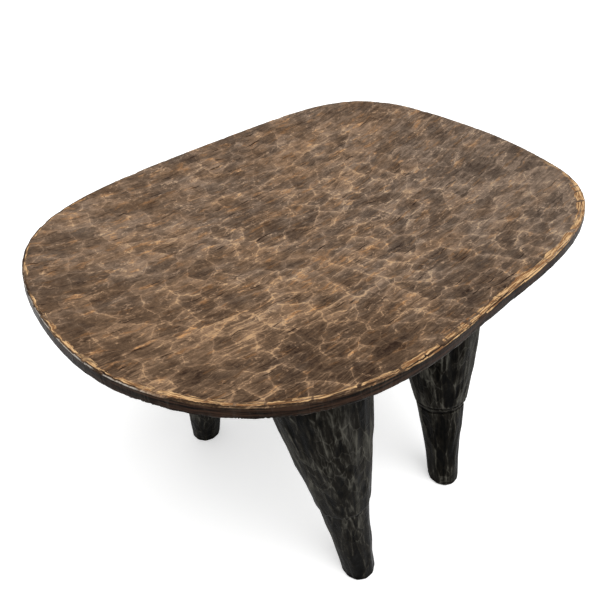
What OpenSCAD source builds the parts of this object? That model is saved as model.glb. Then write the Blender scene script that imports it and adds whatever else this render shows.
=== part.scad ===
/* [Seat] */
// Length of the seat, along the grain
seat_length = 518; // [420:2:620]
// Width of the seat, across the grain
seat_width = 388; // [310:2:480]
// Height of the middle of the dished top above the floor
seat_height = 331; // [250:0.5:430]
// How far the middle of each end stands above the middle of the dish
end_rise = 27; // [8:1:45]
// How far the middle of each long side stands above the middle of the dish
side_rise = 25; // [8:1:45]
// Squareness of the outline: 2 is an ellipse, a higher value is nearer to a rectangle
squareness = 3.2; // [2:0.05:4.5]
// Wood left under the middle of the dish
seat_thickness = 26; // [18:0.5:50]
// Height of the thin band round the edge of the seat
rim_thickness = 10.5; // [8:0.5:18]
// Radius worn onto both corners of the edge band
rim_round = 1.5; // [1:0.5:3.5]
// How far the edge band leans out towards its lower corner
rim_lean = 1; // [0:0.5:4]
// Width of the flatter lip between the dished top and the edge
lip_width = 5; // [4:0.5:9]
// How much lower the lip's outer side is than the dish would be there
lip_drop = 1.2; // [0:0.2:3]

/* [Legs] */
// Distance between the middles of the soles, along the seat
foot_span_length = 153; // [110:1:220]
// Distance between the middles of the soles, across the seat
foot_span_width = 266.4; // [180:0.2:330]
// Distance between the middles of the leg roots, along the seat
root_span_length = 183; // [140:0.2:230]
// Distance between the middles of the leg roots, across the seat
root_span_width = 149; // [124:0.2:180]
// Thickness of a leg just above its sole
foot_diameter = 36.5; // [24:0.5:50]
// Thickness of a leg at its ankle, where the slow taper of the shin turns into the thigh
ankle_diameter = 57; // [38:0.5:70]
// Height of the ankle above the floor
ankle_height = 118; // [80:1:150]
// Thickness of a leg where it meets the seat
root_diameter = 106.8; // [80:0.2:118]
// Radius worn onto the edge of each sole
foot_round = 4; // [2:0.5:9]
// Depth of the seat's swelling that each leg root meets, below the middle of the underside
root_drop = 4; // [2:0.5:15]
// How much wider that swelling grows where it runs into the underside
root_flare = 6; // [1:0.5:14]

/* [Carving] */
// Number of adze flats round each leg
leg_flats = 11; // [7:1:20]
// How far the leg steps out above the ring cut round its ankle
cuff_step = 1.5; // [0:0.1:4]
// Depth of the lines cut round the ankles
groove_depth = 1.4; // [0.5:0.1:3]
// Width of the lines cut round the ankles
groove_width = 3; // [2:0.5:6]
// Height of the cut line or lines on the left legs
ring_height_left = 110; // [80:1:150]
// Height of the cut line or lines on the right legs
ring_height_right = 120; // [80:1:150]
// Distance between the two lines that edge the raised band on the right legs
band_width = 7; // [6:0.5:16]

/* [Hidden] */

half_length = seat_length / 2;
half_width = seat_width / 2;
underside_z = seat_height - seat_thickness;
root_z = underside_z - root_drop;

// Unevenness of the hand-cut outline: lobes round the seat, height of a lobe in mm, angle of its crest
WOBBLE = [[2, 1, 40], [3, 2, 40], [4, 3.5, 5], [5, 1.5, 20], [6, 1.5, 60], [7, 1.5, 40]];

// Heights of the lines cut round an ankle, from its ring height: one line, or two that edge a band
SINGLE_LINE = [0];
BAND_LINES = [-band_width / 2, band_width / 2];

// One entry per leg: side along, side across, ring height, cut lines, turn of the flats, and how far
// the sole and the root stand off their even places, because each leg was placed by eye
LEG_FRONT_LEFT = [-1, -1, ring_height_left, SINGLE_LINE, 4, [0, -1], [0, -1]];
LEG_FRONT_RIGHT = [1, -1, ring_height_right, BAND_LINES, 11, [9, 3], [1, 3]];
LEG_REAR_LEFT = [-1, 1, ring_height_left, SINGLE_LINE, 17, [0, -1], [0, -1]];
LEG_REAR_RIGHT = [1, 1, ring_height_right, BAND_LINES, 23, [4, -3], [1, 0]];
LEGS = [LEG_FRONT_LEFT, LEG_FRONT_RIGHT, LEG_REAR_LEFT, LEG_REAR_RIGHT];

// Fullness of the leg's side between two heights: above 0 it swells, below 0 it is hollow
SHIN_BOW = -0.3;
THIGH_BOW = 0.42;

// Share of a flat's width that stays flat, the rest is the softened edge to the next flat
FLAT_SHARE = 0.76;

// How fast the underside thins towards the rim
THINNING = 2.5;

// Depth of the root swellings inside the seat's wood
ROOT_EMBED = 5;

// Shares of the way to the edge at which the rings of the top and the underside end
TOP_END = 0.96;
UNDERSIDE_END = 0.94;

SEAT_COLOUR = [0.24, 0.15, 0.09];
LEG_COLOUR = [0.09, 0.06, 0.05];

OUTLINE_STEPS = 88;
TOP_STEPS = 8;
UNDERSIDE_STEPS = 7;
ROUND_STEPS = 3;
SHIN_STEPS = 5;
THIGH_STEPS = 8;
ROOT_STEPS = 4;

// Skin over rings that climb from a tip below to a tip above, all with equal numbers of points
module skin(rings, first_tip, last_tip) {
    count = len(rings[0]);
    last = len(rings) - 1;
    points = concat([first_tip], [for (ring = rings) each ring], [last_tip]);
    function at(ring, step) = 1 + ring * count + step % count;
    sides = [
        for (r = [0 : last - 1], s = [0 : count - 1])
            each [
                [at(r, s), at(r + 1, s), at(r + 1, s + 1)],
                [at(r, s), at(r + 1, s + 1), at(r, s + 1)]
            ]
    ];
    first_cap = [for (s = [0 : count - 1]) [0, at(0, s), at(0, s + 1)]];
    last_cap = [for (s = [0 : count - 1]) [len(points) - 1, at(last, s + 1), at(last, s)]];
    polyhedron(points, concat(first_cap, sides, last_cap), convexity = 6);
}

function total(values) = values * [for (value = values) 1];

// Distance from the middle to the hand-cut outline, in halves of the seat's length and width
function wobble(angle) =
    let (lobe_heights = [for (lobe = WOBBLE) lobe[1] * cos(lobe[0] * (angle - lobe[2]))])
    total(lobe_heights) / ((half_length + half_width) / 2);
function unit_reach(angle) =
    pow(pow(abs(cos(angle)), squareness) + pow(abs(sin(angle)), squareness), -1 / squareness);
function raw_outline(angle) = unit_reach(angle) * (1 + wobble(angle)) * [cos(angle), sin(angle)];

// The outline is moved and stretched to measure exactly one length by one width
RAW = [for (s = [0 : OUTLINE_STEPS - 1]) raw_outline(360 * s / OUTLINE_STEPS)];
RAW_LOW = [min([for (p = RAW) p.x]), min([for (p = RAW) p.y])];
RAW_HIGH = [max([for (p = RAW) p.x]), max([for (p = RAW) p.y])];
OUTLINE = [
    for (p = RAW) [
        seat_length * ((p.x - RAW_LOW.x) / (RAW_HIGH.x - RAW_LOW.x) - 0.5),
        seat_width * ((p.y - RAW_LOW.y) / (RAW_HIGH.y - RAW_LOW.y) - 0.5)
    ]
];

// Height of the dished top at a place on the seat
function dish_z(p) =
    seat_height + end_rise * pow(p.x / half_length, 2) + side_rise * pow(p.y / half_width, 2);

// Share of the way from the middle of the seat to its edge, and the wood left there
function edge_share(p) =
    pow(pow(abs(p.x) / half_length, squareness) + pow(abs(p.y) / half_width, squareness), 1 / squareness);
function wood_at(share) =
    seat_thickness - (seat_thickness - lip_drop - rim_thickness) * pow(share, THINNING);
function underside_at(p) = dish_z(p) - wood_at(min(edge_share(p), 1));

// Rings of the seat: at a share of the way to the edge, or at a distance in from the edge
function top_ring(share) = [for (p = OUTLINE) [share * p.x, share * p.y, dish_z(share * p)]];
function underside_ring(share) =
    [for (p = OUTLINE) [share * p.x, share * p.y, dish_z(share * p) - wood_at(share)]];
function inset_point(p, inset) = p * (1 - inset / norm(p));
function lip_ring() =
    [for (p = OUTLINE) let (q = inset_point(p, rim_lean + lip_width)) [q.x, q.y, dish_z(q)]];
function rim_ring(inset, drop) =
    [for (p = OUTLINE) let (q = inset_point(p, inset)) [q.x, q.y, dish_z(p) - lip_drop - drop]];

module seat_board() {
    rings = concat(
        [for (s = [1 : UNDERSIDE_STEPS]) underside_ring(UNDERSIDE_END * s / UNDERSIDE_STEPS)],
        [
            for (s = [0 : ROUND_STEPS])
                let (turn = 90 * s / ROUND_STEPS)
                rim_ring(rim_round * (1 - sin(turn)), rim_thickness - rim_round * (1 - cos(turn)))
        ],
        [
            for (s = [0 : ROUND_STEPS])
                let (turn = 90 * s / ROUND_STEPS)
                rim_ring(rim_lean + rim_round * (1 - cos(turn)), rim_round * (1 - sin(turn)))
        ],
        [lip_ring()],
        [for (s = [TOP_STEPS : -1 : 1]) top_ring(TOP_END * s / TOP_STEPS)]
    );
    skin(rings, [0, 0, underside_z], [0, 0, seat_height]);
}

// A leg leans in a straight line from the middle of its sole to the middle of its root
function foot_place(leg) = [leg[0] * foot_span_length / 2, leg[1] * foot_span_width / 2] + leg[5];
function root_place(leg) = [leg[0] * root_span_length / 2, leg[1] * root_span_width / 2] + leg[6];
function leg_lean(leg) = (root_place(leg) - foot_place(leg)) / root_z;
function leg_middle(leg, z) = foot_place(leg) + leg_lean(leg) * z;

// One ring of adze flats round the leg's middle line, tilted square to the leg by a share of its lean
function flats_ring(leg, z, radius, tilt) =
    let (half_flat = 180 / leg_flats, middle = leg_middle(leg, z), lean = leg_lean(leg))
    [
        for (flat = [0 : leg_flats - 1], end = [-1, 1])
            let (
                angle = leg[4] + half_flat * (2 * flat + end * FLAT_SHARE),
                step = radius * [cos(angle), sin(angle)]
            )
            [middle.x + step.x, middle.y + step.y, z - tilt * (step * lean)]
    ];

function bowed(from, to, share, bow) = from + (to - from) * (share + bow * share * (1 - share));
function leg_taper(z) =
    z < ankle_height
    ? bowed(foot_diameter, ankle_diameter, z / ankle_height, SHIN_BOW) / 2
    : bowed(ankle_diameter, root_diameter, (z - ankle_height) / (root_z - ankle_height), THIGH_BOW) / 2;

// The flats are square to the leg at its ring, and level at its sole and root
function ring_share(z, ring_z) = z < ring_z ? z / ring_z : (root_z - z) / (root_z - ring_z);
function leg_radius(z, ring_z) =
    leg_taper(z) + (z < ring_z ? -1 : 1) * cuff_step / 2 * ring_share(z, ring_z);

// Heights of the rings of a leg, each with the depth that is cut in there
function leg_stations(ring_z, lines) =
    let (
        half_groove = groove_width / 2,
        shin_top = ring_z + lines[0] - half_groove,
        thigh_foot = ring_z + lines[len(lines) - 1] + half_groove
    )
    concat(
        [
            for (s = [0 : ROUND_STEPS])
                let (turn = 90 * s / ROUND_STEPS)
                [foot_round * (1 - cos(turn)), foot_round * (1 - sin(turn))]
        ],
        [for (s = [1 : SHIN_STEPS - 1]) [foot_round + (shin_top - foot_round) * s / SHIN_STEPS, 0]],
        [
            for (line = lines)
                each [
                    [ring_z + line - half_groove, 0],
                    [ring_z + line, groove_depth],
                    [ring_z + line + half_groove, 0]
                ]
        ],
        [for (s = [1 : THIGH_STEPS]) [thigh_foot + (root_z - thigh_foot) * s / THIGH_STEPS, 0]]
    );

module leg(leg) {
    ring_z = leg[2];
    rings = [
        for (station = leg_stations(ring_z, leg[3]))
            let (z = station[0])
            flats_ring(leg, z, leg_radius(z, ring_z) - station[1], ring_share(z, ring_z))
    ];
    foot = foot_place(leg);
    root = root_place(leg);
    skin(rings, [foot.x, foot.y, 0], [root.x, root.y, root_z]);
}

// The seat swells down to meet each leg root with the same flats
module root_swelling(leg) {
    root = root_place(leg);
    level_rings = [
        for (s = [0 : ROOT_STEPS])
            let (share = s / ROOT_STEPS)
            [
                for (p = flats_ring(leg, root_z, root_diameter / 2 + root_flare * share * share, 0))
                    [p.x, p.y, root_z + share * (underside_at(p) + ROOT_EMBED - root_z)]
            ]
    ];
    skin(level_rings, [root.x, root.y, root_z], [root.x, root.y, underside_at(root) + ROOT_EMBED]);
}

module seat() {
    color(SEAT_COLOUR)
    union() {
        seat_board();
        for (leg = LEGS) root_swelling(leg);
    }
}

module leg_front_left() { color(LEG_COLOUR) leg(LEG_FRONT_LEFT); }
module leg_front_right() { color(LEG_COLOUR) leg(LEG_FRONT_RIGHT); }
module leg_rear_left() { color(LEG_COLOUR) leg(LEG_REAR_LEFT); }
module leg_rear_right() { color(LEG_COLOUR) leg(LEG_REAR_RIGHT); }

seat();
leg_front_left();
leg_front_right();
leg_rear_left();
leg_rear_right();
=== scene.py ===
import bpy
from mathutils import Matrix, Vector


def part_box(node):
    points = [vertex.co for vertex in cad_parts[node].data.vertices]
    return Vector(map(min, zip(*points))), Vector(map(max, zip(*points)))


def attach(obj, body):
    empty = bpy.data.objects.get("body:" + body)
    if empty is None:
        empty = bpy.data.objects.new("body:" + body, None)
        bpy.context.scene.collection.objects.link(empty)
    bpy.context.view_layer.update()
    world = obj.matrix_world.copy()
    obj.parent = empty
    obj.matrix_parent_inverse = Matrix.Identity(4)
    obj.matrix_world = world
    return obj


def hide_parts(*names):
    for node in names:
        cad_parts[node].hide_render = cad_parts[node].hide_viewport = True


bl_info = {
    "name": "Carved Oval Stool",
    "version": (1, 0, 0),
    "blender": (4, 5, 0),
    "location": "View3D > Sidebar > Stool",
    "description": "Models a stool carved with an adze from one block, and its studio",
    "category": "Object",
}

import math
from types import SimpleNamespace

import bpy
import numpy as np
from bpy.props import FloatProperty, FloatVectorProperty, PointerProperty
from mathutils import Matrix, Vector

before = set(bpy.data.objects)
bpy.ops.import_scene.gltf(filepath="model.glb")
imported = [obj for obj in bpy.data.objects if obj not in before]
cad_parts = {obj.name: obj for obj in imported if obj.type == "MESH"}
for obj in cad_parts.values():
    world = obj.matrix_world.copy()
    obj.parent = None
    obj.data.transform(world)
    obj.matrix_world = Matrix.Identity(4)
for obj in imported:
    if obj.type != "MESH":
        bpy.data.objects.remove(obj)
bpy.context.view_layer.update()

MM = 0.001
SEAT = "seat"
LEGS = ["leg_front_left", "leg_front_right", "leg_rear_left", "leg_rear_right"]
SEAT_HIGH = Vector(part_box(SEAT)[1])
ROOT_Z = Vector(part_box(LEGS[1])[1]).z

# How near to the edge the rim starts, as a sum of cubes that is about 1 on the edge
FINE_TOP_EDGE = 0.86
FINE_UNDERSIDE_EDGE = 0.93
LET_OUT_EDGE = 0.88

# How far the rim is let out before it is wrapped on the solid, and how high above the leg roots it starts
LET_OUT = 1.5 * MM
RIM_ABOVE_ROOTS = 20 * MM

# Height above the roots over which the legs' cuts fade out, and height up to which they do at the soles
LEG_CUT_FADE = 30 * MM
SOLE_FADE = 6 * MM

# Turn between two faces up to which they are shaded as one surface
SMOOTH_ANGLE = math.radians(50)

# The floor's size, and how strongly it shines towards the camera alone, so that it looks nearly white
FLOOR_SIZE = 12.0
FLOOR_SHINE = 0.48

# Width of the overhead light as the stool sees it, which softens the shadow, and the width of the film
LIGHT_SPREAD = math.radians(50)
FILM_WIDTH = 36.0


# Selecting and applying, as by hand


def select_only(piece):
    """Deselects everything else and makes the piece active."""
    bpy.ops.object.select_all(action="DESELECT")
    piece.select_set(True)
    bpy.context.view_layer.objects.active = piece


def add_object(name, content):
    """A new object at the origin, from a mesh, a light or a camera's lens."""
    piece = bpy.data.objects.new(name, content)
    bpy.context.scene.collection.objects.link(piece)
    return piece


def apply_modifier(piece, kind, **settings):
    """Adds a modifier, sets it and applies it."""
    select_only(piece)
    modifier = piece.modifiers.new(kind, kind)
    for name, value in settings.items():
        setattr(modifier, name, value)
    bpy.ops.object.modifier_apply(modifier=modifier.name)


def subdivide_faces(piece, chosen):
    """Subdivides the chosen faces, an array of True and False."""
    select_only(piece)
    bpy.ops.object.mode_set(mode="EDIT")
    bpy.ops.mesh.select_mode(type="FACE")
    bpy.ops.mesh.select_all(action="DESELECT")
    bpy.ops.object.mode_set(mode="OBJECT")
    piece.data.polygons.foreach_set("select", chosen)
    bpy.ops.object.mode_set(mode="EDIT")
    bpy.ops.mesh.subdivide()
    bpy.ops.object.mode_set(mode="OBJECT")


def rows_of(items, what):
    """A vector of each vertex or face of a mesh, one row each."""
    values = np.empty(len(items) * 3)
    items.foreach_get(what, values)
    return values.reshape(-1, 3)


# Places on the stool


def edge_nearness(places):
    """How near places are to the seat's edge, about 1 on it."""
    cubes = np.abs(places / SEAT_HIGH) ** 3
    return cubes[:, 0] + cubes[:, 1]


def leg_lean():
    """Where a leg's middle stands, and how far it leans along and across for each metre up."""
    places = np.abs(rows_of(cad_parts[LEGS[1]].data.vertices, "co"))
    foot = places[places[:, 2] < MM].mean(axis=0)
    root = places[places[:, 2] > ROOT_Z - MM].mean(axis=0)
    return foot, (root - foot) / ROOT_Z


# Node networks, the same way for carving and for colour


class Wiring:
    """Adds nodes to a tree and joins them; a value may be a number, a tuple or another node's output."""

    def __init__(self, tree):
        self.tree = tree

    def add(self, kind, inputs=None, output=0, **settings):
        """A node with its settings and inputs; gives one of its outputs, by name or number."""
        node = self.tree.nodes.new(kind)
        for name, value in settings.items():
            setattr(node, name, value)
        for name, value in (inputs or {}).items():
            self.feed(node.inputs[name], value)
        return node.outputs[output]

    def feed(self, socket, value):
        """Joins an output to a socket, or sets the socket to a number or tuple."""
        if isinstance(value, bpy.types.NodeSocket):
            self.tree.links.new(value, socket)
        else:
            socket.default_value = value

    def add_output(self, kind, result):
        """The node that ends the network, fed by its result."""
        self.feed(self.tree.nodes.new(kind).inputs[0], result)

    def math(self, operation, a, b=0.0):
        return self.add("ShaderNodeMath", {0: a, 1: b}, operation=operation)

    def vector(self, operation, a, b=(0.0, 0.0, 0.0)):
        return self.add("ShaderNodeVectorMath", {0: a, 1: b}, operation=operation)

    def split(self, vector):
        return self.add("ShaderNodeSeparateXYZ", {0: vector}).node.outputs

    def join(self, x, y, z):
        return self.add("ShaderNodeCombineXYZ", {0: x, 1: y, 2: z})

    def attribute(self, name):
        """A number that the mesh carries for each vertex, in a material."""
        return self.add("ShaderNodeAttribute", output="Fac", attribute_name=name)

    def product(self, first, *others):
        """Values multiplied together."""
        for other in others:
            first = self.math("MULTIPLY", first, other)
        return first

    def total(self, *terms):
        """Sum of values times their weights."""
        result = 0.0
        for value, weight in terms:
            inputs = {0: value, 1: weight, 2: result}
            result = self.add("ShaderNodeMath", inputs, operation="MULTIPLY_ADD")
        return result

    def step(self, value, low, high, start=0.0, end=1.0):
        """Eases from start to end while the value goes from low to high."""
        inputs = {"Value": value, "From Min": low, "From Max": high, "To Min": start, "To Max": end}
        return self.add("ShaderNodeMapRange", inputs, interpolation_type="SMOOTHSTEP")

    def fade(self, value, low, high):
        """Eases from 1 to 0 while the value goes from low to high."""
        return self.step(value, low, high, 1.0, 0.0)

    def noise(self, place, stretch, detail=2.0, roughness=0.5, offset=0.0):
        """Noise about 0.5; stretch gives how fast it changes along each axis."""
        moved = self.vector("ADD", place, (offset, offset, offset))
        inputs = {
            "Vector": self.vector("MULTIPLY", moved, stretch),
            "Scale": 1.0,
            "Detail": detail,
            "Roughness": roughness,
        }
        return self.add("ShaderNodeTexNoise", inputs)

    def warped(self, place, scale, size, offset=0.0):
        """The place moved about by up to a size, changing at a scale."""
        inputs = {
            "Vector": self.vector("ADD", place, (offset, offset, offset)),
            "Scale": scale,
            "Detail": 2.0,
        }
        colour = self.add("ShaderNodeTexNoise", inputs, output="Color")
        centred = self.vector("SUBTRACT", colour, (0.5, 0.5, 0.5))
        return self.vector("ADD", place, self.vector("MULTIPLY", centred, (size, size, size)))

    def cuts(self, place, density, dimensions="2D"):
        """Adze cuts side by side, so many to a metre.

        Gives how far a place is into its cut, 0 on the ridges, and a shade for each cut.
        """
        inputs = {"Vector": self.vector("MULTIPLY", place, density), "Scale": 1.0}
        nearest, next_nearest = (
            self.add("ShaderNodeTexVoronoi", inputs, feature=feature, voronoi_dimensions=dimensions)
            for feature in ("F1", "F2")
        )
        shade = self.split(nearest.node.outputs["Color"])[0]
        return self.math("SUBTRACT", next_nearest, nearest), shade

    def ramp(self, value, *stops):
        """A colour for each value, from stops of a value and a colour."""
        node = self.add("ShaderNodeValToRGB", {0: value}).node
        elements = node.color_ramp.elements
        while len(elements) < len(stops):
            elements.new(0.5)
        for element, (position, colour) in zip(elements, stops):
            element.position = position
            element.color = colour
        return node.outputs[0]

    def mix(self, share, a, b, blend="MIX"):
        """Blends two colours by a share; a colour mix has its sockets at 0, 6 and 7."""
        inputs = {0: share, 6: a, 7: b}
        return self.add("ShaderNodeMix", inputs, 2, data_type="RGBA", blend_type=blend)

    def bump(self, height, distance):
        """Normals of a relief as deep as the distance where the height is 1."""
        return self.add("ShaderNodeBump", {"Height": height, "Distance": distance})


def top_cuts(wires, place):
    """The wide and the narrow adze cuts on the seat's top."""
    shaken = wires.warped(place, 190.0, 3.5 * MM, offset=13.0)
    wide = wires.warped(wires.warped(shaken, 14.0, 30 * MM), 60.0, 8 * MM, offset=3.0)
    narrow = wires.warped(wires.warped(shaken, 28.0, 20 * MM, offset=7.0), 110.0, 4 * MM, offset=5.0)
    return wires.cuts(wide, (38.0, 52.0, 0.0)), wires.cuts(narrow, (74.0, 102.0, 0.0))


def leg_place(wires, place):
    """Place measured from the leg's leaning middle line, unlike on each leg."""
    x, y, z = wires.split(place)
    across = []
    for side, foot, lean in zip((x, y), *leg_lean()):
        outwards = wires.math("SUBTRACT", wires.math("ABSOLUTE", side), foot)
        across.append(wires.math("SUBTRACT", outwards, wires.product(z, lean)))
    which_leg = wires.math("ADD", wires.product(wires.math("SIGN", x), 0.9), wires.math("SIGN", y))
    return wires.join(*across, wires.math("ADD", z, which_leg))


def leg_cuts(wires, place):
    """Long adze cuts down a leg."""
    moved = wires.warped(leg_place(wires, place), 22.0, 9 * MM)
    return wires.cuts(moved, (72.0, 72.0, 13.0), "3D")


# Settings


class StoolCarving(bpy.types.PropertyGroup):
    """Sizes of the adze work, all cut inwards from the frame's solids."""

    mesh_size: FloatProperty(
        name="Mesh size",
        description="Length of a face's side",
        default=2.5 * MM,
        unit="LENGTH",
    )
    top_depth: FloatProperty(
        name="Top cuts",
        description="Depth of the adze cuts on the seat's top",
        default=0.7 * MM,
        unit="LENGTH",
    )
    under_depth: FloatProperty(
        name="Underside cuts",
        description="Depth of the cuts on the underside",
        default=1.6 * MM,
        unit="LENGTH",
    )
    leg_depth: FloatProperty(
        name="Leg cuts",
        description="Depth of the long cuts down the legs",
        default=1.3 * MM,
        unit="LENGTH",
    )
    rim_depth: FloatProperty(
        name="Rim wear",
        description="Most that is worn or chipped off the rim",
        default=0.9 * MM,
        unit="LENGTH",
    )


class StoolFinish(bpy.types.PropertyGroup):
    """Colours of the stained and worn wood, and of a painted highlight."""

    stain_dark: FloatVectorProperty(
        name="Dark stain",
        description="Stain in the deepest cuts",
        default=(0.031, 0.017, 0.011),
        subtype="COLOR",
    )
    stain_middle: FloatVectorProperty(
        name="Middle stain",
        description="Stain over most of the top",
        default=(0.136, 0.088, 0.056),
        subtype="COLOR",
    )
    stain_light: FloatVectorProperty(
        name="Light stain",
        description="Stain thinned by use",
        default=(0.305, 0.200, 0.128),
        subtype="COLOR",
    )
    bare_wood: FloatVectorProperty(
        name="Bare wood",
        description="Wood rubbed bare on ridges",
        default=(0.56, 0.37, 0.215),
        subtype="COLOR",
    )
    rim_wood: FloatVectorProperty(
        name="Rim wood",
        description="Fresh wood on the worn rim",
        default=(0.80, 0.51, 0.255),
        subtype="COLOR",
    )
    worn_rim: FloatVectorProperty(
        name="Worn rim",
        description="Rim wood that has darkened again",
        default=(0.27, 0.13, 0.055),
        subtype="COLOR",
    )
    # Painted highlight: the polished arris at the left end is painted pale grey where it reflects the white
    # surroundings
    arris_highlight: FloatVectorProperty(
        name="Pale arris",
        description="Polished edge of the rim at the left",
        default=(0.52, 0.47, 0.41),
        subtype="COLOR",
    )
    side_wood: FloatVectorProperty(
        name="Side wood",
        description="Stained wood on the rim's side",
        default=(0.020, 0.010, 0.006),
        subtype="COLOR",
    )
    leg_stain: FloatVectorProperty(
        name="Leg stain",
        description="Near-black stain of legs and underside",
        default=(0.0135, 0.0112, 0.0078),
        subtype="COLOR",
    )
    leg_worn: FloatVectorProperty(
        name="Worn leg",
        description="Leg wood rubbed grey on ridges",
        default=(0.090, 0.085, 0.070),
        subtype="COLOR",
    )


class StoolStudio(bpy.types.PropertyGroup):
    """Camera and light."""

    camera_place: FloatVectorProperty(
        name="Camera place",
        description="Where the camera stands",
        default=(-0.3639, -0.3501, 0.6459),
        subtype="TRANSLATION",
        unit="LENGTH",
    )
    camera_azimuth: FloatProperty(
        name="Azimuth",
        description="Turn of the camera round the stool",
        default=math.radians(-43.96),
        subtype="ANGLE",
    )
    camera_elevation: FloatProperty(
        name="Elevation",
        description="Tilt of the camera",
        default=math.radians(38.10),
        subtype="ANGLE",
    )
    camera_roll: FloatProperty(
        name="Roll",
        description="Turn of the camera about its view",
        default=math.radians(-1.25),
        subtype="ANGLE",
    )
    lens: FloatProperty(
        name="Lens",
        description="Focal length",
        default=37.484,
        unit="CAMERA",
    )
    sky: FloatProperty(
        name="Sky",
        description="Strength of the light from all round",
        default=0.5,
    )
    key: FloatProperty(
        name="Key",
        description="Strength of the broad light overhead",
        default=1.9,
    )


# Materials


def new_material(name):
    """A material with its node network, its shader and the place on the stool."""
    material = bpy.data.materials.new(name)
    material.use_nodes = True
    tree = material.node_tree
    tree.nodes.clear()
    wires = Wiring(tree)
    surface = wires.add("ShaderNodeBsdfPrincipled")
    wires.add_output("ShaderNodeOutputMaterial", surface)
    place = wires.add("ShaderNodeTexCoord", output="Object")
    return material, wires, surface.node, place


def rgba(colour, gain=1.0):
    """A colour made lighter or darker, with its fourth number."""
    return (colour[0] * gain, colour[1] * gain, colour[2] * gain, 1.0)


def dark_wood(wires, place, finish):
    """Colour, height and tone of the near-black stained wood on legs, rim side and underside."""
    down = leg_place(wires, place)
    mottle = wires.noise(down, (170.0, 170.0, 65.0), detail=5.0, roughness=0.75)
    streaks = wires.noise(down, (300.0, 300.0, 14.0), detail=3.0, roughness=0.6, offset=2.0)
    clouds = wires.noise(down, (32.0, 32.0, 12.0), detail=3.0, offset=4.0)
    depth, shade = leg_cuts(wires, place)
    scallop, scallop_shade = wires.cuts(wires.warped(down, 70.0, 6 * MM), (125.0, 125.0, 42.0), "3D")

    # The ridges between cuts are rubbed, in places more and in places less
    ridge = wires.product(wires.fade(depth, 0.0, 0.08), wires.step(streaks, 0.40, 0.60, 0.2, 1.0))
    fine_ridge = wires.product(wires.fade(scallop, 0.0, 0.10), wires.step(clouds, 0.40, 0.60, 0.1, 1.0))

    # Corners are rubbed lighter and grooves hold more stain, and so do the shins below the ankle
    pointed = wires.add("ShaderNodeNewGeometry", output="Pointiness")
    shin = wires.step(wires.split(place)[2], 130 * MM, 95 * MM)

    tone = wires.total(
        (wires.step(pointed, 0.46, 0.54, -0.27, 0.27), 1.0),
        (shin, -0.12),
        (1.0, -1.83),
        (mottle, 1.05),
        (streaks, 1.3),
        (clouds, 1.4),
        (shade, 0.38),
        (scallop_shade, 0.25),
        (ridge, 0.30),
        (fine_ridge, 0.30),
    )
    colour = wires.ramp(
        tone,
        (0.1, rgba(finish.leg_stain, 0.05)),
        (0.45, rgba(finish.leg_stain, 0.75)),
        (0.75, rgba(finish.leg_worn, 0.5)),
        (1.0, rgba(finish.leg_worn)),
    )
    height = wires.total((mottle, 0.8), (streaks, 0.4), (fine_ridge, 0.3))
    return colour, height, tone


def leg_material(finish):
    """Near-black satin wood with rubbed ridges."""
    material, wires, shader, place = new_material("stained_leg_wood")
    colour, height, tone = dark_wood(wires, place, finish)
    wires.feed(shader.inputs["Base Color"], colour)
    wires.feed(shader.inputs["Roughness"], wires.step(tone, 0.1, 0.9, 0.28, 0.5))
    wires.feed(shader.inputs["Normal"], wires.bump(height, 0.8 * MM))
    shader.inputs["Specular IOR Level"].default_value = 0.025
    return material


def top_noises(wires, place):
    """Noises over the top, by name; those on the grain run along it and waver."""
    grain = wires.warped(wires.warped(place, 20.0, 14 * MM, offset=41.0), 75.0, 4 * MM, offset=43.0)
    return SimpleNamespace(
        clouds=wires.noise(place, (10.0, 14.0, 12.0), offset=4.0),
        patches=wires.noise(place, (16.0, 22.0, 20.0), detail=3.0, offset=9.0),
        mottle=wires.noise(place, (56.0, 76.0, 60.0), detail=6.0, roughness=0.90, offset=1.0),
        torn=wires.noise(place, (120.0, 150.0, 140.0), detail=4.0, roughness=0.7, offset=11.0),
        veins=wires.noise(place, (26.0, 44.0, 34.0), detail=4.0, roughness=0.6, offset=51.0),
        fibres=wires.noise(grain, (30.0, 380.0, 120.0), detail=3.0, roughness=0.72),
        hairs=wires.noise(grain, (15.0, 300.0, 90.0), roughness=0.6, offset=17.0),
        checks=wires.noise(grain, (34.0, 420.0, 90.0), detail=1.0, offset=31.0),
        flecks=wires.noise(grain, (42.0, 170.0, 80.0), detail=3.0, roughness=0.7, offset=37.0),
        splinters=wires.noise(grain, (17.0, 430.0, 120.0), roughness=0.6, offset=73.0),
    )


def rubbed_shares(wires, place, patches):
    """How much the ridges on the top are rubbed: towards the front, at the left end, and in all."""
    x, y, _ = wires.split(place)
    front = wires.step(wires.total((x, 1.2), (y, -5.0)), -0.8, 0.1, 0.4, 1.0)
    front = wires.product(front, wires.step(x, 60 * MM, 200 * MM, 1.0, 0.45))
    left_end = wires.step(x, -50 * MM, -170 * MM)
    bare = wires.product(wires.step(patches, 0.36, 0.56, 0.5, 1.0), front)
    bare = wires.math("MAXIMUM", bare, wires.product(left_end, 0.55))
    return front, left_end, bare


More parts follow.
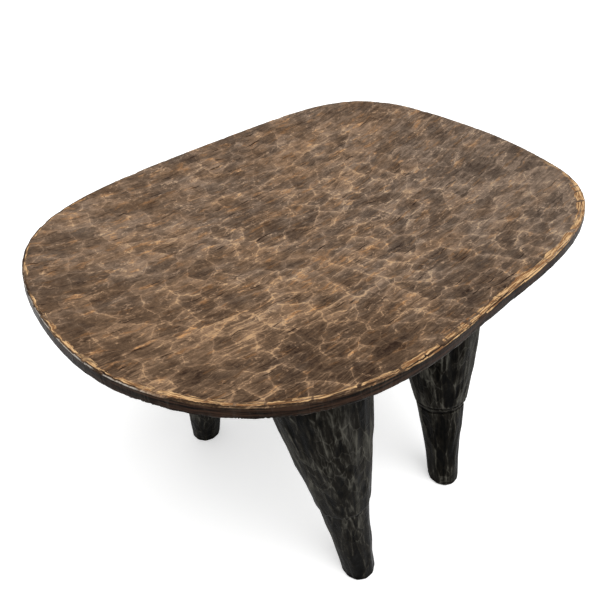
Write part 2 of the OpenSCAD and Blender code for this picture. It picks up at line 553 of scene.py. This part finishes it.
def top_tone(wires, place):
    """How light the top's stain is, its fine relief and its flecks.

    The tone goes from 0 in the darkest cuts to 1 on bare ridges.
    """
    (wide, wide_shade), (narrow, narrow_shade) = top_cuts(wires, place)
    noises = top_noises(wires, place)
    front, left_end, bare = rubbed_shares(wires, place, noises.patches)
    x, y, _ = wires.split(place)

    # Ridges are frayed along the grain, and the narrow ones show in patches
    frayed = wires.product(
        wires.step(noises.torn, 0.34, 0.58, 0.15, 1.0), wires.step(noises.fibres, 0.34, 0.56, 0.6, 1.0)
    )
    wide_ridge = wires.product(wires.fade(wide, 0.0, 0.075), frayed, bare)
    in_patches = wires.product(front, wires.step(noises.patches, 0.38, 0.56, 0.4, 1.0))
    narrow_ridge = wires.product(
        wires.fade(narrow, 0.0, 0.13), wires.step(noises.torn, 0.40, 0.62), in_patches
    )
    halo = wires.product(wires.fade(wide, 0.0, 0.4), bare)
    cut_floor = wires.product(front, wires.step(wide, 0.12, 0.5))

    # Thin bright veins wind over the top, where one noise is at its middle
    off_middle = wires.math("ABSOLUTE", wires.total((noises.veins, 1.0), (1.0, -0.5)))
    vein_shares = wires.product(frayed, wires.step(noises.torn, 0.46, 0.6, 0.2, 1.0))
    veins = wires.product(wires.fade(off_middle, 0.003, 0.018), vein_shares)

    # Fibres are soft at the rear of the left end and torn up in bright splinters at its front
    softened = wires.product(
        wires.total((noises.fibres, 1.0), (1.0, -0.44)), wires.step(y, -60 * MM, 40 * MM, 0.2, 1.0)
    )
    splinters = wires.product(
        wires.step(noises.splinters, 0.54, 0.66),
        wires.step(noises.patches, 0.34, 0.58, 0.25, 1.0),
        wires.step(x, 20 * MM, -140 * MM),
        wires.step(y, 40 * MM, -50 * MM),
    )
    flecks = wires.step(noises.flecks, 0.54, 0.68)

    # The top is darker towards the left front
    left_front = wires.product(wires.step(y, -60 * MM, -180 * MM), wires.step(x, 120 * MM, -60 * MM))

    tone = wires.total(
        (1.0, -1.043),
        (noises.clouds, 0.4),
        (left_front, -0.22),
        (wide_shade, 0.22),
        (narrow_shade, 0.10),
        (noises.mottle, 1.36),
        (noises.fibres, 0.72),
        (wires.product(left_end, softened), -0.45),
        (noises.patches, 0.2),
        (halo, 0.11),
        (cut_floor, -0.06),
        (wide_ridge, 0.40),
        (flecks, 0.10),
        (splinters, 0.26),
        (narrow_ridge, 0.32),
        (veins, 0.36),
        (wires.step(noises.hairs, 0.58, 0.68), -0.14),
        (wires.step(noises.checks, 0.70, 0.76), -0.5),
    )
    relief = wires.total(
        (noises.mottle, 1.0),
        (noises.fibres, 0.4),
        (narrow_ridge, 0.25),
        (wide_ridge, 0.2),
        (narrow_shade, 0.1),
    )
    return tone, relief, flecks


def top_colour(wires, place, tone, flecks, finish):
    """Colour of the stained top, with a painted sheen that tints it greyer and bluer in patches and towards
    the right front.
    """
    colour = wires.ramp(
        tone,
        (0.0, rgba(finish.stain_dark)),
        (0.4, rgba(finish.stain_middle)),
        (0.7, rgba(finish.stain_light)),
        (1.0, rgba(finish.bare_wood)),
    )
    x, y, _ = wires.split(place)
    patches = wires.noise(place, (22.0, 46.0, 30.0), detail=4.0, roughness=0.65, offset=33.0)
    # Painted sheen: the top turns greyer and bluer in patches and towards the right front, as if reflecting
    # the white surroundings, and warmer elsewhere
    toward_right = wires.product(x, 1.0 / SEAT_HIGH.x, wires.step(y, 90 * MM, -60 * MM))
    sheen_share = wires.total((toward_right, 0.9), (patches, 3.2), (1.0, -1.15))
    sheen_tint = wires.mix(sheen_share, (1.03, 0.972, 0.905, 1.0), (0.96, 1.04, 1.17, 1.0))
    colour = wires.mix(1.0, colour, sheen_tint, blend="MULTIPLY")
    return wires.mix(wires.product(flecks, 0.8), colour, (1.18, 0.96, 0.70, 1.0), blend="MULTIPLY")


def rim_places(wires, place, edge):
    """Place along and in from the rim, and how far it is towards the left front and along to the right."""
    x, y, _ = wires.split(place)
    x_share = wires.product(x, 1.0 / SEAT_HIGH.x)
    y_share = wires.product(y, 1.0 / SEAT_HIGH.y)
    squares = wires.total((wires.product(x_share, x_share), 1.0), (wires.product(y_share, y_share), 1.0))
    reach = wires.math("SQRT", squares)
    on_rim = wires.join(
        wires.math("DIVIDE", x, reach), wires.math("DIVIDE", y, reach), wires.product(edge, 4.0)
    )
    left_front = wires.total((x_share, -0.77), (y_share, -0.64))
    return on_rim, left_front, wires.math("SUBTRACT", x_share, y_share)


def rim_wear(wires, place, edge):
    """Shares of bared band, arris (worn at the right, a painted highlight at the left), painted shadow line
    and left end of the rim, and the place on the rim.
    """
    on_rim, left_front, along = rim_places(wires, place, edge)
    exposed = wires.step(left_front, -0.5, 0.0)
    right = wires.step(along, 0.6, 1.1)
    left = wires.step(along, -0.35, -0.6)
    _, knife = wires.cuts(wires.warped(on_rim, 60.0, 8 * MM, offset=5.0), (44.0, 44.0, 0.0))
    ragged = wires.noise(on_rim, (80.0, 80.0, 60.0), detail=4.0, roughness=0.65, offset=15.0)
    wide = wires.noise(on_rim, (12.0, 12.0, 6.0), detail=1.0, offset=3.0)
    gaps = wires.noise(on_rim, (30.0, 30.0, 20.0), detail=3.0, roughness=0.6, offset=61.0)
    splits = wires.noise(on_rim, (34.0, 34.0, 120.0), detail=3.0, roughness=0.65, offset=21.0)
    across = wires.noise(on_rim, (190.0, 190.0, 9.0), detail=1.0, offset=25.0)

    # Knife cuts side by side bare a ragged band a few mm in, with gaps and splits that are fewer at the right
    inner = wires.total(
        (knife, 2.8 * MM),
        (ragged, 8.0 * MM),
        (wide, 6.0 * MM),
        (right, 1.7 * MM),
        (left, -1.4 * MM),
        (1.0, -3.1 * MM),
    )
    outer = wires.total((ragged, -3.0 * MM), (wide, -3.0 * MM), (right, -0.6 * MM), (1.0, 4.8 * MM))
    band = wires.product(
        wires.step(wires.math("SUBTRACT", inner, edge), -0.3 * MM, 0.5 * MM),
        wires.step(wires.math("SUBTRACT", edge, outer), -0.3 * MM, 0.5 * MM),
        wires.fade(wires.total((splits, 1.0), (right, -0.05)), 0.52, 0.57),
        wires.step(wires.total((gaps, 1.0), (right, 0.12)), 0.42, 0.49, 0.1, 1.0),
        wires.fade(across, 0.60, 0.66),
        exposed,
    )

    # The arris outside it is worn at the right and has a painted highlight at the left, over a painted
    # shadow, a dark line along the rim's outer few mm
    arris = wires.product(
        wires.step(edge, 1.0 * MM, 0.4 * MM),
        wires.step(ragged, 0.60, 0.50, 0.0, 0.9),
        wires.math("MAXIMUM", left, wires.step(along, 0.3, 0.7, 0.1, 1.0)),
    )
    painted_shadow_line = wires.product(
        wires.step(edge, 3.2 * MM, 2.0 * MM), wires.step(splits, 0.42, 0.54), wires.product(exposed, 0.8)
    )
    return band, arris, painted_shadow_line, left, on_rim


def seat_material(finish):
    """Brown stained top with bare ridges, a painted sheen, and a worn rim with a painted shadow line and
    highlight, over near-black sides.
    """
    material, wires, shader, place = new_material("worn_seat_wood")
    edge = wires.attribute("edge_distance")
    tone, relief, flecks = top_tone(wires, place)
    colour = top_colour(wires, place, tone, flecks, finish)

    band, arris, painted_shadow_line, left, on_rim = rim_wear(wires, place, edge)
    streaks = wires.noise(on_rim, (60.0, 60.0, 200.0), detail=4.0, roughness=0.7, offset=27.0)
    fresh = wires.mix(wires.step(streaks, 0.44, 0.56), rgba(finish.worn_rim), rgba(finish.rim_wood))
    # Painted shadow: a dark line in the side's colour along the top's outer few mm of the rim
    colour = wires.mix(painted_shadow_line, colour, rgba(finish.side_wood))
    colour = wires.mix(band, colour, fresh)
    # Painted highlight: the arris is pale grey at the left end, and worn wood elsewhere
    colour = wires.mix(arris, colour, wires.mix(left, fresh, rgba(finish.arris_highlight)))

    # What faces up is brown, and the rim's side is layered and a little redder than the legs
    dark_colour, dark_height, _ = dark_wood(wires, place, finish)
    up = wires.split(wires.add("ShaderNodeNewGeometry", output="Normal"))[2]
    top = wires.step(up, 0.35, 0.6)
    side = wires.product(
        wires.step(wires.math("ABSOLUTE", up), 0.6, 0.3), wires.step(edge, 6 * MM, 2 * MM)
    )
    layers = wires.noise(place, (30.0, 30.0, 700.0), detail=3.0, roughness=0.7, offset=35.0)
    side_colour = wires.mix(
        wires.step(layers, 0.38, 0.66), rgba(finish.side_wood, 0.15), rgba(finish.side_wood, 2.6)
    )
    dark_colour = wires.mix(wires.product(side, 0.85), dark_colour, side_colour)

    satin = wires.step(tone, 0.0, 1.0, 0.44, 0.66)
    height = wires.total((wires.product(relief, top), 1.0), (dark_height, 0.5))
    wires.feed(shader.inputs["Base Color"], wires.mix(top, dark_colour, colour))
    wires.feed(shader.inputs["Roughness"], wires.total((satin, 1.0), (side, -0.2)))
    wires.feed(shader.inputs["Normal"], wires.bump(height, 0.5 * MM))
    shader.inputs["Specular IOR Level"].default_value = 0.045
    return material


# Carving


def joined_block():
    """The frame's five solids as one closed mesh, the block that the stool is cut from."""
    copies = []
    for name in [SEAT] + LEGS:
        copy = add_object(name + "_copy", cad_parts[name].data.copy())
        select_only(copy)
        bpy.ops.object.mode_set(mode="EDIT")
        bpy.ops.mesh.select_all(action="SELECT")
        bpy.ops.mesh.remove_doubles(threshold=0.01 * MM)
        bpy.ops.object.mode_set(mode="OBJECT")
        copies.append(copy)
    block = copies[0]
    for leg in copies[1:]:
        apply_modifier(block, "BOOLEAN", operation="UNION", solver="EXACT", object=leg)
        bpy.data.objects.remove(leg)
    block.name = "stool_block"
    return block


def edge_measured(wires, geometry, place, up):
    """Stores each vertex's distance from the rim's side; gives the geometry and that distance."""
    x, y, _ = wires.split(place)
    reach = wires.math("SQRT", wires.total((wires.product(x, x), 1.0), (wires.product(y, y), 1.0)))
    outermost = wires.math("GREATER_THAN", reach, 0.95 * SEAT_HIGH.y)
    upright = wires.math("LESS_THAN", wires.math("ABSOLUTE", up), 0.35)
    chosen = {0: geometry, 1: wires.product(outermost, upright)}
    rim_side = wires.add("GeometryNodeSeparateGeometry", chosen, domain="FACE")
    nearest = wires.add("GeometryNodeProximity", {0: rim_side}, output="Distance", target_element="FACES")
    store = {"Geometry": geometry, "Name": "edge_distance", "Value": nearest}
    stored = wires.add("GeometryNodeStoreNamedAttribute", store, data_type="FLOAT", domain="POINT")
    edge = wires.add("GeometryNodeInputNamedAttribute", {"Name": "edge_distance"}, data_type="FLOAT")
    return stored, edge


def top_cut(wires, place, up, edge, depth):
    """Wide and narrow cuts and shallow hollows on what faces up, less near the edge."""
    (wide, _), (narrow, _) = top_cuts(wires, place)
    hollows = wires.noise(place, (14.0, 20.0, 14.0), detail=1.0, offset=6.0)
    cut = wires.total((wires.step(wide, 0.0, 0.45), 1.0), (wires.step(narrow, 0.0, 0.4), 0.3), (hollows, 1.0))
    return wires.product(cut, depth, wires.step(up, 0.5, 0.9), wires.step(edge, 0.0, 9 * MM, 0.15, 1.0))


def under_cut(wires, place, up, z, depth):
    """Broad cuts on what faces down above the leg roots."""
    under, _ = wires.cuts(wires.warped(place, 14.0, 30 * MM, offset=2.0), (30.0, 42.0, 36.0), "3D")
    above_roots = wires.step(z, ROOT_Z, ROOT_Z + 12 * MM)
    return wires.product(wires.step(under, 0.0, 0.4), depth, wires.step(up, -0.3, -0.7), above_roots)


def leg_cut(wires, place, z, depth):
    """Long cuts and ripples down the legs, that end at the seat and at the soles."""
    down, _ = leg_cuts(wires, place)
    ripple = wires.noise(leg_place(wires, place), (38.0, 38.0, 30.0), offset=1.0)
    cut = wires.total((wires.step(down, 0.0, 0.45), 0.6), (ripple, 0.9))
    below_seat = wires.step(z, ROOT_Z + LEG_CUT_FADE, ROOT_Z)
    return wires.product(cut, depth, below_seat, wires.step(z, 0.5 * MM, SOLE_FADE))


def rim_cut(wires, place, up, z, edge, depth):
    """Chips and slow waves that wear the rim."""
    chips = wires.noise(place, (45.0, 60.0, 50.0), detail=4.0, roughness=0.65, offset=15.0)
    wander = wires.noise(place, (11.0, 11.0, 11.0), offset=8.0)
    chipped = wires.product(wires.step(chips, 0.5, 0.75), wires.step(up, 0.1, 0.6))
    return wires.product(
        wires.total((chipped, 0.9), (wander, 0.25)),
        depth,
        wires.step(edge, 6 * MM, 0.0),
        wires.step(up, -0.5, 0.2, 0.3, 1.0),
        wires.step(z, ROOT_Z, ROOT_Z + RIM_ABOVE_ROOTS),
    )


def carving_nodes(carving):
    """Node group that cuts the surface inwards, by adze cuts that differ from top to leg."""
    group = bpy.data.node_groups.new("adze_carving", "GeometryNodeTree")
    group.interface.new_socket("Geometry", in_out="INPUT", socket_type="NodeSocketGeometry")
    group.interface.new_socket("Geometry", in_out="OUTPUT", socket_type="NodeSocketGeometry")
    wires = Wiring(group)
    block = wires.add("NodeGroupInput")
    place = wires.add("GeometryNodeInputPosition")
    normal = wires.add("GeometryNodeInputNormal")
    z = wires.split(place)[2]
    up = wires.split(normal)[2]
    stored, edge = edge_measured(wires, block, place, up)

    cut = wires.total(
        (top_cut(wires, place, up, edge, carving.top_depth), 1.0),
        (under_cut(wires, place, up, z, carving.under_depth), 1.0),
        (leg_cut(wires, place, z, carving.leg_depth), 1.0),
        (rim_cut(wires, place, up, z, edge, carving.rim_depth), 1.0),
    )
    inwards = wires.add(
        "ShaderNodeVectorMath", {0: normal, "Scale": wires.product(cut, -1.0)}, operation="SCALE"
    )
    moved = wires.add("GeometryNodeSetPosition", {"Geometry": stored, "Offset": inwards})
    wires.add_output("NodeGroupOutput", moved)
    return group


def carved_block(carving):
    """The whole stool as one carved mesh, with its rim and legs meshed more finely."""
    block = joined_block()
    solid = add_object("stool_solid", block.data.copy())
    apply_modifier(block, "REMESH", mode="VOXEL", voxel_size=carving.mesh_size)

    faces = block.data.polygons
    places = rows_of(faces, "center")
    facing_down = rows_of(faces, "normal")[:, 2] < -0.5
    fine_edge = np.where(facing_down, FINE_UNDERSIDE_EDGE, FINE_TOP_EDGE)
    near_rim = (edge_nearness(places) > fine_edge) & (places[:, 2] > ROOT_Z)
    on_leg = places[:, 2] < ROOT_Z + 2 * MM
    subdivide_faces(block, near_rim | on_leg)
    apply_modifier(block, "SHRINKWRAP", target=solid, wrap_method="NEAREST_SURFACEPOINT")
    apply_modifier(block, "SMOOTH", factor=0.5, iterations=3)

    # The rim is let out a little first, so that wrapping it on the solid keeps its corners
    corners = rows_of(block.data.vertices, "co")
    on_rim = (edge_nearness(corners) > LET_OUT_EDGE) & (corners[:, 2] > ROOT_Z + RIM_ABOVE_ROOTS)
    rim = block.vertex_groups.new(name="rim")
    rim.add(np.flatnonzero(on_rim).tolist(), 1.0, "REPLACE")
    apply_modifier(block, "DISPLACE", strength=LET_OUT, mid_level=0.0, vertex_group="rim")
    apply_modifier(block, "SHRINKWRAP", target=solid, wrap_method="NEAREST_SURFACEPOINT")
    bpy.data.objects.remove(solid)
    apply_modifier(block, "NODES", node_group=carving_nodes(carving))
    return block


def cut_apart(piece, keep_above):
    """Saws the block level through the leg roots, closes the cut and keeps one side of it."""
    select_only(piece)
    bpy.ops.object.mode_set(mode="EDIT")
    bpy.ops.mesh.select_all(action="SELECT")
    bpy.ops.mesh.bisect(
        plane_co=(0, 0, ROOT_Z),
        plane_no=(0, 0, 1),
        use_fill=True,
        clear_inner=keep_above,
        clear_outer=not keep_above,
    )
    bpy.ops.object.mode_set(mode="OBJECT")


def finish_piece(piece, name, node, material):
    """Names a piece, gives it its finish and ties it to the frame."""
    piece.name = name
    piece.data.name = name
    piece.data.materials.clear()
    piece.data.materials.append(material)
    select_only(piece)
    bpy.ops.object.shade_smooth_by_angle(angle=SMOOTH_ANGLE)
    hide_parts(node)
    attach(piece, "root")


class STOOL_OT_seat(bpy.types.Operator):
    """Carves the block and saws the seat off its legs"""

    bl_idname = "stool.seat"
    bl_label = "Carve Seat"

    def execute(self, context):
        scene = context.scene
        block = carved_block(scene.stool_carving)
        legs = add_object("stool_legs", block.data.copy())
        cut_apart(block, keep_above=True)
        cut_apart(legs, keep_above=False)
        finish_piece(block, "carved_seat", SEAT, seat_material(scene.stool_finish))
        return {"FINISHED"}


class STOOL_OT_legs(bpy.types.Operator):
    """Parts the four legs and finishes them"""

    bl_idname = "stool.legs"
    bl_label = "Carve Legs"

    def execute(self, context):
        select_only(bpy.data.objects["stool_legs"])
        bpy.ops.mesh.separate(type="LOOSE")
        pieces = list(context.selected_objects)
        if len(pieces) != len(LEGS):
            raise RuntimeError(f"The block gave {len(pieces)} legs and not {len(LEGS)}")
        material = leg_material(context.scene.stool_finish)
        for piece in pieces:
            middle = rows_of(piece.data.vertices, "co").mean(axis=0)
            side = "front" if middle[1] < 0 else "rear"
            end = "left" if middle[0] < 0 else "right"
            node = f"leg_{side}_{end}"
            finish_piece(piece, f"carved_{node}", node, material)
        return {"FINISHED"}


class STOOL_OT_stage(bpy.types.Operator):
    """Sets up the floor, the light and the camera"""

    bl_idname = "stool.stage"
    bl_label = "Set Stage"

    def execute(self, context):
        studio = context.scene.stool_studio
        self.floor()
        self.lights(studio)
        self.camera(studio)
        context.scene.view_settings.view_transform = "Standard"
        return {"FINISHED"}

    def floor(self):
        """A pale floor that looks nearly white and keeps the stool's shadow."""
        bpy.ops.mesh.primitive_plane_add(size=FLOOR_SIZE)
        floor = bpy.context.object
        floor.name = "floor"
        material = bpy.data.materials.new("pale_floor")
        material.use_nodes = True
        material.node_tree.nodes.clear()
        wires = Wiring(material.node_tree)
        paper = wires.add("ShaderNodeBsdfDiffuse", {"Color": (0.95, 0.95, 0.945, 1.0)})
        seen = wires.add("ShaderNodeLightPath", output="Is Camera Ray")
        white = wires.add("ShaderNodeEmission", {"Strength": wires.product(seen, FLOOR_SHINE)})
        wires.add_output("ShaderNodeOutputMaterial", wires.add("ShaderNodeAddShader", {0: paper, 1: white}))
        floor.data.materials.append(material)
        return floor

    def lights(self, studio):
        """Even light from all round, white where it is seen, and a broad light overhead."""
        world = bpy.data.worlds.new("studio")
        bpy.context.scene.world = world
        world.use_nodes = True
        world.node_tree.nodes.clear()
        wires = Wiring(world.node_tree)
        seen = wires.add("ShaderNodeLightPath", output="Is Camera Ray")
        inputs = {"Value": seen, "To Min": studio.sky, "To Max": 1.0}
        strength = wires.add("ShaderNodeMapRange", inputs)
        inputs = {"Color": (1.0, 1.0, 1.0, 1.0), "Strength": strength}
        wires.add_output("ShaderNodeOutputWorld", wires.add("ShaderNodeBackground", inputs))

        light = bpy.data.lights.new("overhead_light", "SUN")
        light.angle = LIGHT_SPREAD
        light.energy = studio.key
        overhead = add_object("overhead_light", light)
        overhead.location = (0.0, -0.6, 1.6)
        aim = Vector((0, 0, 0.3)) - overhead.location
        overhead.rotation_euler = aim.to_track_quat("-Z", "Y").to_euler()

    def camera(self, studio):
        """The camera where the photograph was taken from."""
        lens = bpy.data.cameras.new("camera")
        lens.lens = studio.lens
        lens.sensor_width = FILM_WIDTH
        lens.sensor_fit = "HORIZONTAL"
        camera = add_object("camera", lens)
        turn = Matrix.Rotation(studio.camera_azimuth, 4, "Z")
        tilt = Matrix.Rotation(math.pi / 2 - studio.camera_elevation, 4, "X")
        roll = Matrix.Rotation(studio.camera_roll, 4, "Z")
        camera.matrix_world = Matrix.Translation(studio.camera_place) @ turn @ tilt @ roll
        bpy.context.scene.camera = camera


class STOOL_PT_panel(bpy.types.Panel):
    """Buttons and settings of the stool"""

    bl_idname = "STOOL_PT_panel"
    bl_label = "Carved Stool"
    bl_space_type = "VIEW_3D"
    bl_region_type = "UI"
    bl_category = "Stool"

    def draw(self, context):
        layout = self.layout
        scene = context.scene
        for group in (scene.stool_carving, scene.stool_finish, scene.stool_studio):
            box = layout.box()
            for name in group.__annotations__:
                box.prop(group, name)
        for operator in (STOOL_OT_seat, STOOL_OT_legs, STOOL_OT_stage):
            layout.operator(operator.bl_idname)


CLASSES = [
    StoolCarving,
    StoolFinish,
    StoolStudio,
    STOOL_OT_seat,
    STOOL_OT_legs,
    STOOL_OT_stage,
    STOOL_PT_panel,
]


def register():
    for kind in CLASSES:
        bpy.utils.register_class(kind)
    bpy.types.Scene.stool_carving = PointerProperty(type=StoolCarving)
    bpy.types.Scene.stool_finish = PointerProperty(type=StoolFinish)
    bpy.types.Scene.stool_studio = PointerProperty(type=StoolStudio)


def unregister():
    del bpy.types.Scene.stool_studio
    del bpy.types.Scene.stool_finish
    del bpy.types.Scene.stool_carving
    for kind in reversed(CLASSES):
        bpy.utils.unregister_class(kind)


def main():
    register()
    bpy.ops.stool.seat()
    bpy.ops.stool.legs()
    bpy.ops.stool.stage()


if __name__ == "__main__":
    main()
